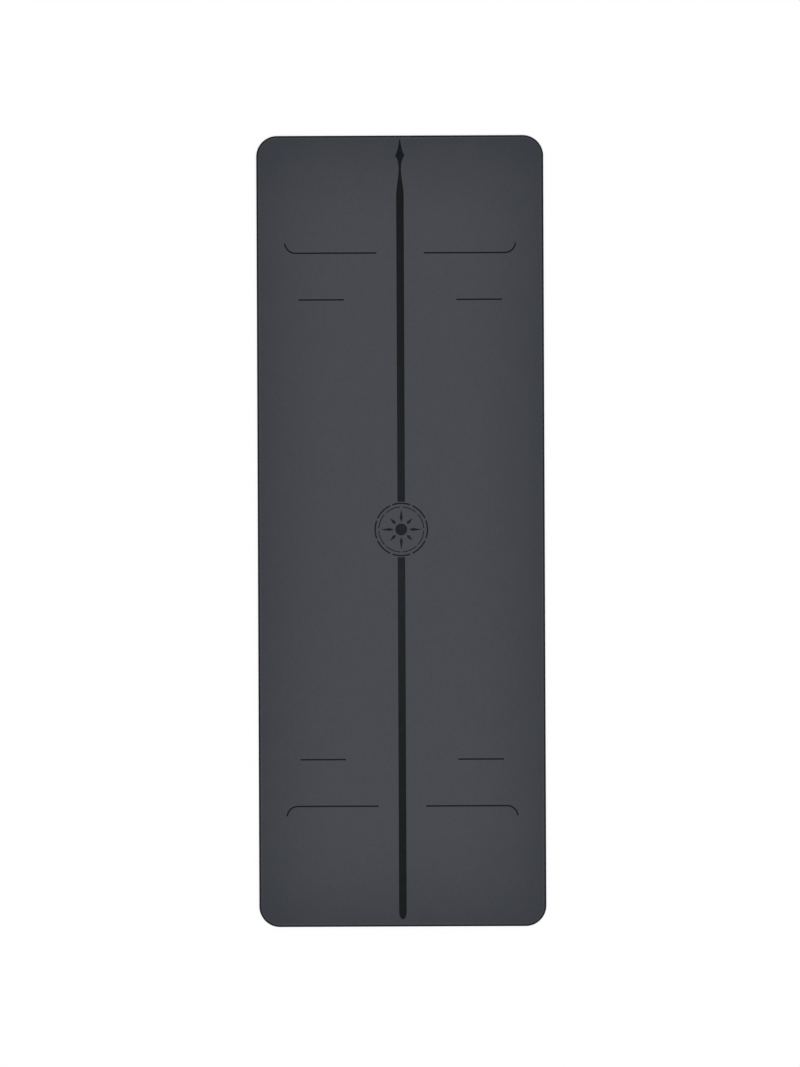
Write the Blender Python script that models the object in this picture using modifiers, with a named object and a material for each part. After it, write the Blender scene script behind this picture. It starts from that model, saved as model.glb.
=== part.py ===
"""A yoga mat, lying flat on the floor.

Three sheets are laminated: a grip skin with guide marks cut through it, a dark backing cloth that
shows in the marks, and a foamed rubber base. The origin is the middle of the underside, +Z is up,
and +Y runs along the mat to the end that its centre line points at. Lengths are in metres.
"""

import math

import bmesh
import bpy
import numpy as np

# The mat's outline
MAT_LENGTH = 1.830
MAT_WIDTH = 0.664
CORNER_RADIUS = 0.048

# The three sheets, from the floor up
RUBBER_THICKNESS = 0.0027
CLOTH_THICKNESS = 0.0004
SKIN_THICKNESS = 0.0005
SHEET_GAP = 0.0003  # between the facing sides of two sheets
CLOTH_EDGE_INSET = 0.0007  # from the rubber's edge to the cloth's
SKIN_EDGE_INSET = 0.0015  # from the rubber's edge to the skin's
RUBBER_EDGE_ROUNDING = 0.0006
SKIN_EDGE_ROUNDING = 0.00015

# Where the guide marks lie
MARKS_OFFSET = 0.0037  # their middle stands this far towards the pointed end
LINE_THICKNESS = 0.0030  # of the hand and foot lines

# The centre line, with a round end at -Y and a pointed end at +Y
CENTRE_LINE_WIDTH = 0.0169
ROUND_END_MARGIN = 0.0137  # from the round end to the mat's, before the offset
ROUND_END_LENGTH = 0.0165
POINT_MARGIN = 0.0107  # from the tip to the mat's end, before the offset
POINT_LENGTH = 0.0398  # from the tip to the shoulders of the pointed end
POINT_WIDTH = 0.0212  # across those shoulders
NECK_LENGTH = 0.0302  # from the shoulders to the waist behind them
WAIST_WIDTH = 0.0047
TAPER_LENGTH = 0.0640  # from the waist to the line's full width

# The hand lines, each a straight that curls towards the nearer end of the mat
HAND_LINE_END_MARGIN = 0.2753  # from the straight to the mat's end, before the offset
HAND_LINE_SIDE_MARGIN = 0.0653  # from the furthest reach of the curl's circle to the mat's side
HAND_LINE_START = 0.0561  # from the mat's middle
HAND_LINE_CURL_RADIUS = 0.0245
HAND_LINE_CURL_TURN = math.radians(82.5)

# The foot lines, each a short straight
FOOT_LINE_SPACING = 0.1080  # from the hand lines, towards the middle of the mat
FOOT_LINE_SIDE_MARGIN = 0.0981
FOOT_LINE_LENGTH = 0.1026

# The dial in the middle: two broken rings, eight rays and a round spot
DIAL_RING_RADIUS = 0.0605
DIAL_RING_THICKNESS = 0.0030
DIAL_RING_SPACING = 0.0085  # from the outer ring to the inner one
INNER_RING_THICKNESS = 0.0016
RING_BRIDGE = 0.0055  # skin left between two arcs of a ring
RAY_CLEARANCE = 0.0045  # skin left at both ends of a ray
RAY_WIDTH = 0.0066
SHORT_RAY_CUT = 0.0100  # how much shorter the four diagonal rays are
SPOT_RADIUS = 0.0135
CENTRE_LINE_CLEARANCE = 0.0025  # skin left between the dial and the centre line

# Counts and shares
RING_ARCS = 8
RAYS = 8
RAY_SHOULDER_SHARE = 0.30  # where a ray is widest, as a share of its length
POINT_STRAIGHT_SHARE = 0.68  # of the pointed end's hollow sides, the rest being a power
POINT_POWER = 5
NECK_FLARE = 3.0  # how strongly the neck flares into the shoulders
CORNER_STEPS = 16
ARC_STEPS = 10
CAP_STEPS = 6
END_STEPS = 12
SPOT_STEPS = 40

# Workshop values
CUT_OVERRUN = 0.0010  # how far a cutter stands out of the skin
WELD_DISTANCE = 0.000001
RIM_SEGMENTS = 2
SHARP_ANGLE = math.radians(40)

RUBBER_TOP = RUBBER_THICKNESS
CLOTH_BOTTOM = RUBBER_TOP + SHEET_GAP
CLOTH_TOP = CLOTH_BOTTOM + CLOTH_THICKNESS
SKIN_BOTTOM = CLOTH_TOP + SHEET_GAP
SKIN_TOP = SKIN_BOTTOM + SKIN_THICKNESS

SKIN_COLOUR = (0.065, 0.069, 0.079, 1)
CLOTH_COLOUR = (0.014, 0.016, 0.017, 1)
RUBBER_COLOUR = (0.017, 0.018, 0.021, 1)


def start_empty():
    """Removes every object of the open scene."""
    for old in list(bpy.data.objects):
        bpy.data.objects.remove(old, do_unlink=True)


def new_collection(name):
    """A collection linked into the scene."""
    collection = bpy.data.collections.new(name)
    bpy.context.scene.collection.children.link(collection)
    return collection


def new_material(name, colour, roughness):
    """A matt, non-metallic material."""
    material = bpy.data.materials.new(name)
    material.use_nodes = True
    shader = material.node_tree.nodes["Principled BSDF"]
    shader.inputs["Base Color"].default_value = colour
    shader.inputs["Roughness"].default_value = roughness
    shader.inputs["Metallic"].default_value = 0
    material.diffuse_color = colour
    return material


def arc(centre, radius, start, end, steps):
    """Points on a circular arc, from the angle start to the angle end, both included."""
    angle = np.linspace(start, end, steps + 1)
    return np.asarray(centre) + radius * np.column_stack([np.cos(angle), np.sin(angle)])


def rounded_rectangle(width, length, radius):
    """A rectangle about the origin with four equal round corners, anticlockwise from +X."""
    across, along = width / 2 - radius, length / 2 - radius
    quarter = math.pi / 2
    corners = [(across, along), (-across, along), (-across, -along), (across, -along)]
    arcs = [
        arc(corner, radius, turn * quarter, (turn + 1) * quarter, CORNER_STEPS)
        for turn, corner in enumerate(corners)
    ]
    return np.vstack(arcs)


def stroke(path, thickness):
    """The outline of a line drawn along path, with half-round ends, anticlockwise."""
    tangent = np.gradient(path, axis=0)
    tangent /= np.linalg.norm(tangent, axis=1, keepdims=True)
    normal = np.column_stack([-tangent[:, 1], tangent[:, 0]])
    half = thickness / 2
    turn = np.linspace(0, math.pi, CAP_STEPS + 1)[1:-1, None]
    end_cap = path[-1] + half * (np.sin(turn) * tangent[-1] - np.cos(turn) * normal[-1])
    start_cap = path[0] + half * (np.cos(turn) * normal[0] - np.sin(turn) * tangent[0])
    return np.vstack([path - half * normal, end_cap, (path + half * normal)[::-1], start_cap])


def mirrored(outline, side, end):
    """outline with its x multiplied by side and its y by end, each 1 or -1, still anticlockwise."""
    turned = outline * (side, end)
    return turned if side * end > 0 else turned[::-1]


def four_ways(outline):
    """The outline in each quarter of the mat."""
    return [mirrored(outline, side, end) for side in (1, -1) for end in (1, -1)]


def both_sides(distance, half_width):
    """A closed outline along Y from half widths at rising distances, anticlockwise."""
    right = np.column_stack([half_width, distance])
    left = np.column_stack([-half_width, distance])[::-1]
    return np.vstack([right, left])


def flat_solid(name, outlines, bottom, top, collection):
    """A flat plate between two heights, its outline a filled 2D curve, made a welded mesh."""
    data = bpy.data.curves.new(name, "CURVE")
    data.dimensions = "2D"
    data.fill_mode = "BOTH"
    data.extrude = (top - bottom) / 2
    for outline in outlines:
        spline = data.splines.new("POLY")
        spline.points.add(len(outline) - 1)
        rows = np.zeros((len(outline), 4))
        rows[:, :2] = outline
        rows[:, 3] = 1
        spline.points.foreach_set("co", rows.ravel())
        spline.use_cyclic_u = True
    curve = bpy.data.objects.new(name + "_outline", data)
    collection.objects.link(curve)
    curve.location.z = (bottom + top) / 2
    bpy.context.view_layer.update()
    evaluated = curve.evaluated_get(bpy.context.evaluated_depsgraph_get())
    mesh = bpy.data.meshes.new_from_object(evaluated)
    mesh.name = name
    welded = bmesh.new()
    welded.from_mesh(mesh)
    bmesh.ops.remove_doubles(welded, verts=welded.verts, dist=WELD_DISTANCE)
    bmesh.ops.recalc_face_normals(welded, faces=welded.faces)
    welded.to_mesh(mesh)
    welded.free()
    mesh.shade_smooth()
    mesh.set_sharp_from_angle(angle=SHARP_ANGLE)
    solid = bpy.data.objects.new(name, mesh)
    solid.matrix_world = curve.matrix_world.copy()
    collection.objects.link(solid)
    bpy.data.objects.remove(curve, do_unlink=True)
    bpy.data.curves.remove(data)
    return solid


def round_edges(solid, width):
    """Rounds the rims of the plate's two flat faces."""
    bevel = solid.modifiers.new("rounded_rims", "BEVEL")
    bevel.width = width
    bevel.segments = RIM_SEGMENTS
    bevel.limit_method = "ANGLE"
    bevel.angle_limit = SHARP_ANGLE


def sheet(name, inset, bottom, top, material, collection):
    """One sheet of the laminate: the mat's outline, drawn in all round by inset."""
    outline = rounded_rectangle(
        MAT_WIDTH - 2 * inset, MAT_LENGTH - 2 * inset, CORNER_RADIUS - inset
    )
    solid = flat_solid(name, [outline], bottom, top, collection)
    solid.data.materials.append(material)
    return solid


def centre_line_outlines():
    """The two halves of the centre line, either side of the dial."""
    half_width = CENTRE_LINE_WIDTH / 2
    tail_reach = MAT_LENGTH / 2 - ROUND_END_MARGIN
    tip_reach = MAT_LENGTH / 2 - POINT_MARGIN
    gap = DIAL_RING_RADIUS + DIAL_RING_THICKNESS / 2 + CENTRE_LINE_CLEARANCE

    # The round end is half an ellipse, from the tail's last point inwards.
    share = 1 - np.cos(np.linspace(0, math.pi / 2, END_STEPS + 1))
    round_end = half_width * np.sqrt(1 - (1 - share) ** 2)
    tail = both_sides(
        np.append(-tail_reach + ROUND_END_LENGTH * share, -gap), np.append(round_end, half_width)
    )

    # The pointed end, from the full width through the waist and the shoulders to the tip.
    share = np.linspace(0, 1, END_STEPS + 1)
    waist, shoulder = WAIST_WIDTH / 2, POINT_WIDTH / 2
    taper = half_width + (waist - half_width) * share**2 * (3 - 2 * share)
    neck = waist + (shoulder - waist) * np.expm1(NECK_FLARE * share) / np.expm1(NECK_FLARE)
    left = 1 - share
    hollow = POINT_STRAIGHT_SHARE * left + (1 - POINT_STRAIGHT_SHARE) * left**POINT_POWER
    waist_at = tip_reach - POINT_LENGTH - NECK_LENGTH
    along = np.concatenate([
        [gap],
        waist_at - TAPER_LENGTH + TAPER_LENGTH * share,
        waist_at + NECK_LENGTH * share[1:],
        tip_reach - POINT_LENGTH + POINT_LENGTH * share[1:],
    ])
    across = np.concatenate([[half_width], taper, neck[1:], shoulder * hollow[1:]])
    outline = both_sides(along, across)
    # The two rows of points meet at the tip, and at the tail's end, in one point each.
    return [np.delete(outline, len(along), axis=0), tail[:-1]]


def hand_line_outlines():
    """Four lines for the hands: a straight across the mat, then an arc towards its end."""
    level = MAT_LENGTH / 2 - HAND_LINE_END_MARGIN
    curl_x = MAT_WIDTH / 2 - HAND_LINE_SIDE_MARGIN - HAND_LINE_CURL_RADIUS
    curl_centre = (curl_x, level + HAND_LINE_CURL_RADIUS)
    start = -math.pi / 2
    curl = arc(
        curl_centre, HAND_LINE_CURL_RADIUS, start, start + HAND_LINE_CURL_TURN, ARC_STEPS
    )
    path = np.vstack([(HAND_LINE_START, level), curl])
    return four_ways(stroke(path, LINE_THICKNESS))


def foot_line_outlines():
    """Four short straight lines for the feet."""
    level = MAT_LENGTH / 2 - HAND_LINE_END_MARGIN - FOOT_LINE_SPACING
    outer = MAT_WIDTH / 2 - FOOT_LINE_SIDE_MARGIN
    path = np.array([(outer - FOOT_LINE_LENGTH, level), (outer, level)])
    return four_ways(stroke(path, LINE_THICKNESS))


def ring_arcs(radius, thickness, first_angle):
    """A ring broken into equal arcs, the first of them centred on first_angle."""
    pitch = 2 * math.pi / RING_ARCS
    half_arc = pitch / 2 - (RING_BRIDGE + thickness) / 2 / radius
    middles = first_angle + pitch * np.arange(RING_ARCS)
    return [
        stroke(arc((0, 0), radius, at - half_arc, at + half_arc, ARC_STEPS), thickness)
        for at in middles
    ]


def dial_outlines():
    """The dial: an outer and an inner broken ring, slim rays and a round spot."""
    inner_radius = DIAL_RING_RADIUS - DIAL_RING_SPACING
    outlines = ring_arcs(DIAL_RING_RADIUS, DIAL_RING_THICKNESS, 0)
    outlines += ring_arcs(inner_radius, INNER_RING_THICKNESS, math.pi / RING_ARCS)
    start = SPOT_RADIUS + RAY_CLEARANCE
    for ray in range(RAYS):
        end = inner_radius - INNER_RING_THICKNESS / 2 - RAY_CLEARANCE - SHORT_RAY_CUT * (ray % 2)
        shoulder = start + (end - start) * RAY_SHOULDER_SHARE
        along = np.array([start, shoulder, end, shoulder])
        across = np.array([0, -RAY_WIDTH / 2, 0, RAY_WIDTH / 2])
        turn = 2 * math.pi * ray / RAYS
        cosine, sine = math.cos(turn), math.sin(turn)
        outlines.append(
            np.column_stack([along * cosine - across * sine, along * sine + across * cosine])
        )
    outlines.append(arc((0, 0), SPOT_RADIUS, 0, 2 * math.pi, SPOT_STEPS)[:-1])
    return outlines


def cut_marks(skin, name, outlines, collection):
    """Cuts the outlines through the skin, moved to the marks' own middle."""
    moved = [outline + (0, MARKS_OFFSET) for outline in outlines]
    cutter = flat_solid(
        name, moved, SKIN_BOTTOM - CUT_OVERRUN, SKIN_TOP + CUT_OVERRUN, collection
    )
    cutter.hide_render = True
    cutter.display_type = "WIRE"
    boolean = skin.modifiers.new(name, "BOOLEAN")
    boolean.operation = "DIFFERENCE"
    boolean.solver = "EXACT"
    boolean.object = cutter


def main():
    start_empty()
    mat = new_collection("yoga_mat")
    cutters = new_collection("mark_cutters")

    rubber = new_material("foamed_rubber", RUBBER_COLOUR, 0.8)
    cloth = new_material("backing_cloth", CLOTH_COLOUR, 0.9)
    grip = new_material("grip_skin", SKIN_COLOUR, 0.6)

    base = sheet("rubber_base", 0, 0, RUBBER_TOP, rubber, mat)
    round_edges(base, RUBBER_EDGE_ROUNDING)
    sheet("backing_cloth", CLOTH_EDGE_INSET, CLOTH_BOTTOM, CLOTH_TOP, cloth, mat)
    skin = sheet("grip_skin", SKIN_EDGE_INSET, SKIN_BOTTOM, SKIN_TOP, grip, mat)
    round_edges(skin, SKIN_EDGE_ROUNDING)

    cut_marks(skin, "centre_line_cut", centre_line_outlines(), cutters)
    cut_marks(skin, "hand_line_cut", hand_line_outlines(), cutters)
    cut_marks(skin, "foot_line_cut", foot_line_outlines(), cutters)
    cut_marks(skin, "dial_cut", dial_outlines(), cutters)


main()
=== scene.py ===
# %% [markdown]
# # A yoga mat, lying flat
# A mat of this kind is a laminate of three sheets. A thin, leather-like grip skin is coated on a
# dark woven cloth, and the two are pressed onto a base of foamed rubber. The stack is die-cut to
# its outline, and guide marks are cut through the skin, down to the cloth.
#
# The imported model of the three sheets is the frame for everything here. Each of its solids gets
# a detailed piece that takes its place: surfaces worked out with numpy, and materials made of
# nodes.

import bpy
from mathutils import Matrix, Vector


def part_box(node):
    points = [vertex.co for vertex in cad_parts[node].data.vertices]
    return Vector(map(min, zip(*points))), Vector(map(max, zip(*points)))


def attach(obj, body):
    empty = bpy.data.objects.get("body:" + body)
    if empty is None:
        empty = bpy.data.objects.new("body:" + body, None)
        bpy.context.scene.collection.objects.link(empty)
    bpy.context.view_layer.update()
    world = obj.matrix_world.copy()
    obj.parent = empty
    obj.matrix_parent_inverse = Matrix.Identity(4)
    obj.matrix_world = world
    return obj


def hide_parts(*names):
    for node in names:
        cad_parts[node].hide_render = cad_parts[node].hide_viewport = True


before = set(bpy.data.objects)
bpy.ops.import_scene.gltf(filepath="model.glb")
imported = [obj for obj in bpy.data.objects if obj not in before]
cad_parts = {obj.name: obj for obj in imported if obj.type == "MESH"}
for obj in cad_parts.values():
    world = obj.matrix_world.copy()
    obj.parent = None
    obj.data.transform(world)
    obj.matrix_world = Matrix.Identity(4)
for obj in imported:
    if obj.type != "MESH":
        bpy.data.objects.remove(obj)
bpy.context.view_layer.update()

# %% Blender, numpy and the model's box
import math

import bpy
import numpy as np
from mathutils.geometry import delaunay_2d_cdt

MM = 0.001

# %% [markdown]
# ## The camera
# The mat is seen from straight above, with its pointed end up and turned a quarter of a degree.
# On a flat object seen squarely, a long lens high up gives the same picture as any other. The
# frame is portrait, so the sensor's width lies along its height, and the camera's height follows
# from the size that one pixel has on the floor.

# %% The camera
FRAME_LENGTH = 1067  # the picture's height in pixels
PIXEL = 2.3143 * MM  # a pixel on the floor
CENTRE_RIGHT, CENTRE_UP = 1.3 * PIXEL, 2.45 * PIXEL  # the mat's middle from the picture's
LENS, SENSOR = 100, 36  # in mm
ROLL = math.radians(-0.245)

camera = bpy.data.objects.new("camera", bpy.data.cameras.new("camera"))
bpy.context.scene.collection.objects.link(camera)
bpy.context.scene.camera = camera
camera.data.lens = LENS
camera.data.sensor_width = SENSOR
camera.location = (
    CENTRE_UP * math.sin(ROLL) - CENTRE_RIGHT * math.cos(ROLL),
    -CENTRE_UP * math.cos(ROLL) - CENTRE_RIGHT * math.sin(ROLL),
    FRAME_LENGTH * PIXEL * LENS / SENSOR,
)
camera.rotation_euler = (0, 0, ROLL)
print("camera height in m:", round(camera.location.z, 3))

# %% [markdown]
# ## Sizes from the frame
# The real sheets are bonded face to face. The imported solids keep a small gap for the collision
# model, so each visible sheet takes half of the gap beside it, less a hair's breadth, and the
# mat's edge shows one stack.

# %% The stack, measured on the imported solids
BOND_LINE = 0.04 * MM
CORNER_RADIUS = 48 * MM


def half_size(node):
    """Half the width and half the length of a sheet."""
    low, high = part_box(node)
    return np.array([high.x - low.x, high.y - low.y]) / 2


def levels(node):
    """The heights of a sheet's underside and top."""
    return [corner.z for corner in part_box(node)]


MAT_HALF = half_size("rubber_base")
CLOTH_INSET = (MAT_HALF - half_size("backing_cloth"))[0]
SKIN_INSET = (MAT_HALF - half_size("grip_skin"))[0]
FLOOR_LEVEL, rubber_high = levels("rubber_base")
cloth_low, cloth_high = levels("backing_cloth")
skin_low, SKIN_TOP = levels("grip_skin")
RUBBER_TOP = (rubber_high + cloth_low - BOND_LINE) / 2
CLOTH_BOTTOM = RUBBER_TOP + BOND_LINE
CLOTH_TOP = (cloth_high + skin_low - BOND_LINE) / 2
SKIN_BOTTOM = CLOTH_TOP + BOND_LINE
print("tops in mm:", np.round(np.array([RUBBER_TOP, CLOTH_TOP, SKIN_TOP]) / MM, 3))
print("insets in mm:", np.round(np.array([CLOTH_INSET, SKIN_INSET]) / MM, 3))

# %% [markdown]
# ## From arrays to meshes
# A Blender mesh is three flat lists: where the points are, which point each face corner uses,
# and where each face starts. numpy holds each list as one array, and foreach_set hands it over
# in one go, which is far quicker than adding faces one by one. Two patterns of faces come again
# and again in this mat: the cells of a grid, and the strips between closed loops of points.

# %% A mesh from arrays, and two patterns of faces
SHARP_ANGLE = math.radians(50)


def mesh_piece(name, points, *face_arrays):
    """A smooth-shaded object from points and from arrays that hold one face in each row."""
    sizes = np.concatenate([np.full(len(faces), faces.shape[1]) for faces in face_arrays])
    corners = np.concatenate([faces.ravel() for faces in face_arrays])
    mesh = bpy.data.meshes.new(name)
    mesh.vertices.add(len(points))
    mesh.vertices.foreach_set("co", np.asarray(points, np.float32).ravel())
    mesh.loops.add(len(corners))
    mesh.loops.foreach_set("vertex_index", corners.astype(np.int32))
    mesh.polygons.add(len(sizes))
    mesh.polygons.foreach_set("loop_start", (np.cumsum(sizes) - sizes).astype(np.int32))
    mesh.update(calc_edges=True)
    mesh.shade_smooth()
    mesh.set_sharp_from_angle(angle=SHARP_ANGLE)
    piece = bpy.data.objects.new(name, mesh)
    bpy.context.scene.collection.objects.link(piece)
    print(f"{name}: {len(points)} points, {int((sizes - 2).sum())} triangles")
    return piece


def numbered(points, first=0):
    """Numbers for the points of a grid or of a stack of loops, row by row."""
    return first + np.arange(points.shape[0] * points.shape[1]).reshape(points.shape[:2])


def grid_faces(numbers):
    """The cells of a grid of point numbers, rows towards +Y and columns towards +X, facing up."""
    cells = [numbers[:-1, :-1], numbers[:-1, 1:], numbers[1:, 1:], numbers[1:, :-1]]
    return np.stack(cells, axis=-1).reshape(-1, 4)


def grid_border(numbers):
    """The border of a grid of point numbers, anticlockwise from its first corner."""
    sides = [numbers[0, :-1], numbers[:-1, -1], numbers[-1, :0:-1], numbers[:0:-1, 0]]
    return np.concatenate(sides)


def strip_faces(loops):
    """The strips between closed loops, one loop of point numbers in each row. If the loops run
    anticlockwise, a strip to a higher loop faces outwards, and one to an inner loop faces up."""
    ahead = np.roll(loops, -1, axis=1)
    return np.stack([loops[:-1], ahead[:-1], ahead[1:], loops[1:]], axis=-1).reshape(-1, 4)


# %% [markdown]
# ## A grid with round corners
# All three sheets share one plan: a rectangle with round corners. A plain grid covers a
# rectangle, and scaling its rows to fit the round corners would crowd them. Here the square at
# each corner is bent into a quarter disc instead, which keeps every cell four-sided and puts the
# border points on the arc.
#
# The border also carries the edge. Each border point looks back to the nearest point of the core
# rectangle, whose corners are the middles of the corner arcs. That gives its direction outwards,
# and a profile of insets and heights, carried round along these directions, makes the edge.

# %% The plan, and a profile carried round it
CORNER_STEPS = 12


def steps_along(half, corner, spacing):
    """Places along one side of the plan: close steps beside the corners, even ones between."""
    core = half - corner
    even = np.linspace(-core, core, round(2 * core / spacing) + 1)
    close = np.linspace(core, half, CORNER_STEPS + 1)[1:]
    return np.concatenate([-close[::-1], even, close])


def round_corners(x, y, half, radius):
    """Bends a rectangle's points into one with round corners. In the square at each corner, let p
    and q run from 0 to 1 towards its two outer sides. Then p becomes p times the root of 1 less
    half the square of q, and q likewise with p. Outside these squares nothing moves."""
    p = np.clip(np.abs(x) - half[0] + radius, 0, None) / radius
    q = np.clip(np.abs(y) - half[1] + radius, 0, None) / radius
    return (
        x - np.sign(x) * radius * p * (1 - np.sqrt(1 - q * q / 2)),
        y - np.sign(y) * radius * q * (1 - np.sqrt(1 - p * p / 2)),
    )


def plan_grid(inset, spacing, height):
    """A level grid over the mat's plan, drawn in all round by an inset."""
    half, radius = MAT_HALF - inset, CORNER_RADIUS - inset
    x, y = np.meshgrid(*(steps_along(side, radius, spacing) for side in half))
    return np.stack([*round_corners(x, y, half, radius), np.full(x.shape, height)], axis=-1)


def around(border, profile):
    """Carries a profile round the mat: an array of loops, points and coordinates. A point stands
    at the corner radius less the profile's inset from the core rectangle, on the line out from
    the core through its border point, and at the profile's height."""
    core_half = MAT_HALF - CORNER_RADIUS
    core = np.clip(border, -core_half, core_half)
    outward = border - core
    outward /= np.linalg.norm(outward, axis=1, keepdims=True)
    inset, height = np.asarray(profile).T[:, :, None]
    flat = core + outward * (CORNER_RADIUS - inset)[:, :, None]
    return np.concatenate([flat, np.broadcast_to(height, flat.shape[:2])[..., None]], axis=-1)


def arc(centre, radius, start, end, steps):
    """Points on a circular arc from one angle to another, in degrees: the centre plus the radius
    times the cosine and the sine of each angle."""
    angle = np.radians(np.linspace(start, end, steps + 1))
    return np.asarray(centre) + radius * np.column_stack([np.cos(angle), np.sin(angle)])


# %% [markdown]
# ## The rubber base
# The base is a sheet of foamed natural rubber. Its underside is moulded with fine ribs that keep
# the mat from sliding. They follow a gentle wave, so that they hold in every direction, and they
# die out before the rim. A bump texture could suggest them, but real geometry also catches the
# light on the profile, and it costs only four rows of points for each rib: two on its crest and
# two in the groove beside it, all shifted along the same wave.

# %% The ribbed underside as a grid
RELIEF_INSET = 8 * MM
RIB_PITCH = 10 * MM
RIB_DEPTH = 0.3 * MM
RIB_SHARES = np.array([-0.34, -0.18, 0.18, 0.34])  # of the pitch, from a groove's middle
WAVE_LENGTH = 80 * MM
WAVE_SIZE = 3 * MM
WAVE_FADE = 45 * MM  # before each end, the ribs straighten over this length


def smooth_step(share):
    """Rises from 0 to 1 with level ends: three squares less two cubes."""
    share = np.clip(share, 0, 1)
    return share * share * (3 - 2 * share)


def ribbed_underside():
    """A grid over the relief. The rows' heights repeat crest, groove, groove, crest, and a
    point's y is its row's plus a sine of its x, which fades towards the mat's ends."""
    half, radius = MAT_HALF - RELIEF_INSET, CORNER_RADIUS - RELIEF_INSET
    ribs = round(2 * half[1] / RIB_PITCH)
    level = (np.arange(ribs)[:, None] + 0.5 + RIB_SHARES).ravel() * 2 * half[1] / ribs - half[1]
    level = np.concatenate([[-half[1]], level, [half[1]]])
    across = steps_along(half[0], radius, RIB_PITCH)
    fade = smooth_step((half[1] - np.abs(level)) / WAVE_FADE)
    x, y = np.meshgrid(across, level)
    y += fade[:, None] * WAVE_SIZE * np.sin(2 * math.pi * x / WAVE_LENGTH)
    depth = np.concatenate([[0], np.tile([0, RIB_DEPTH, RIB_DEPTH, 0], ribs), [0]])
    z = FLOOR_LEVEL + np.repeat(depth[:, None], len(across), axis=1)
    z[:, [0, -1]] = FLOOR_LEVEL
    return np.stack([*round_corners(x, y, half, radius), z], axis=-1)


underside = ribbed_underside()
print("underside grid:", underside.shape[:2])

# %% [markdown]
# The edge starts from the relief's border, runs level to the rounded foot, climbs the cut and
# turns in over the top. A cutting die squeezes foam as it goes through, and the foam springs
# back, so the cut is drawn in a little at half its height.

# %% The base's edge and top
FOOT_ROUNDING, FOOT_STEPS = 0.6 * MM, 4
BROW_ROUNDING, BROW_STEPS = 0.35 * MM, 3
CUT_HOLLOW, CUT_STEPS = 0.12 * MM, 4
LAND_SHARES = np.array([0.6, 0.25])  # of the relief's inset, for two loops on the level rim
TOP_LAP = 1 * MM  # of the top's last loop under the cloth

foot = arc((FOOT_ROUNDING, FLOOR_LEVEL + FOOT_ROUNDING), FOOT_ROUNDING, 270, 180, FOOT_STEPS)
brow = arc((BROW_ROUNDING, RUBBER_TOP - BROW_ROUNDING), BROW_ROUNDING, 180, 90, BROW_STEPS)
climb = np.linspace(0, 1, CUT_STEPS + 1)[1:-1]
cut = np.column_stack([
    CUT_HOLLOW * np.sin(math.pi * climb),
    foot[-1, 1] + (brow[0, 1] - foot[-1, 1]) * climb,
])
land = np.column_stack([RELIEF_INSET * LAND_SHARES, np.full_like(LAND_SHARES, FLOOR_LEVEL)])
inner = np.array([[CLOTH_INSET + TOP_LAP, RUBBER_TOP]])
edge_profile = np.concatenate([land, foot, cut, brow, inner])

numbers = numbered(underside)
border = grid_border(numbers)
edge = around(underside.reshape(-1, 3)[border, :2], edge_profile)
loops = np.vstack([border, numbered(edge, first=numbers.size)])
base = mesh_piece(
    "foamed_base",
    np.vstack([underside.reshape(-1, 3), edge.reshape(-1, 3)]),
    grid_faces(numbers)[:, ::-1],
    strip_faces(loops),
    loops[-1:],
)

# %% [markdown]
# ## The backing cloth
# The cloth is a close, thin weave. Its yarns are far too fine to model one by one, so its shape
# is a flat slab of two grids with a softly rounded edge between them, and the weave itself is
# left to the material.

# %% The cloth as two grids and an edge
CLOTH_SPACING = 30 * MM
CLOTH_ROUNDING = 0.15 * MM

lower = plan_grid(CLOTH_INSET + CLOTH_ROUNDING, CLOTH_SPACING, CLOTH_BOTTOM)
upper = lower + (0, 0, CLOTH_TOP - CLOTH_BOTTOM)
lower_numbers, upper_numbers = numbered(lower), numbered(upper, first=lower[..., 0].size)
border = grid_border(lower_numbers)
sides = around(lower.reshape(-1, 3)[border, :2], [
    (CLOTH_INSET, CLOTH_BOTTOM + CLOTH_ROUNDING),
    (CLOTH_INSET, CLOTH_TOP - CLOTH_ROUNDING),
])
side_numbers = numbered(sides, first=2 * lower_numbers.size)
cloth = mesh_piece(
    "woven_backing",
    np.vstack([lower.reshape(-1, 3), upper.reshape(-1, 3), sides.reshape(-1, 3)]),
    grid_faces(lower_numbers)[:, ::-1],
    grid_faces(upper_numbers),
    strip_faces(np.vstack([border, side_numbers, grid_border(upper_numbers)])),
)

# %% [markdown]
# ## The guide marks
# A line down the middle, lines for the hands and feet, and a dial in the middle are cut through
# the skin. Each mark is a closed outline, worked out from a few named sizes, and all of them run
# anticlockwise, so that one rule tells skin from opening.

# %% Helpers for the outlines
MARKS_OFFSET = 3.7 * MM  # the marks' middle from the mat's, towards the pointed end
LINE_THICKNESS = 3.0 * MM
CAP_STEPS = 10


def stroke(path, thickness):
    """The outline of a line drawn along a path, with half-round ends: each point of the path
    moves to both sides by half the thickness, and a half circle closes each end."""
    tangent = np.gradient(path, axis=0)
    tangent /= np.linalg.norm(tangent, axis=1, keepdims=True)
    normal = np.column_stack([-tangent[:, 1], tangent[:, 0]])
    half = thickness / 2
    turn = np.linspace(0, math.pi, CAP_STEPS + 1)[1:-1, None]
    end_cap = path[-1] + half * (np.sin(turn) * tangent[-1] - np.cos(turn) * normal[-1])
    start_cap = path[0] + half * (np.cos(turn) * normal[0] - np.sin(turn) * tangent[0])
    return np.vstack([path - half * normal, end_cap, (path + half * normal)[::-1], start_cap])


def four_ways(outline):
    """The outline in each quarter of the mat, turned back to anticlockwise where a mirror turns
    it round."""
    signs = [(side, end) for side in (1, -1) for end in (1, -1)]
    return [(outline * sign)[:: sign[0] * sign[1]] for sign in signs]


def both_sides(along, half_width):
    """A closed outline along Y from half widths at rising distances."""
    right = np.column_stack([half_width, along])
    return np.vstack([right, (right * (-1, 1))[::-1]])


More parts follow.
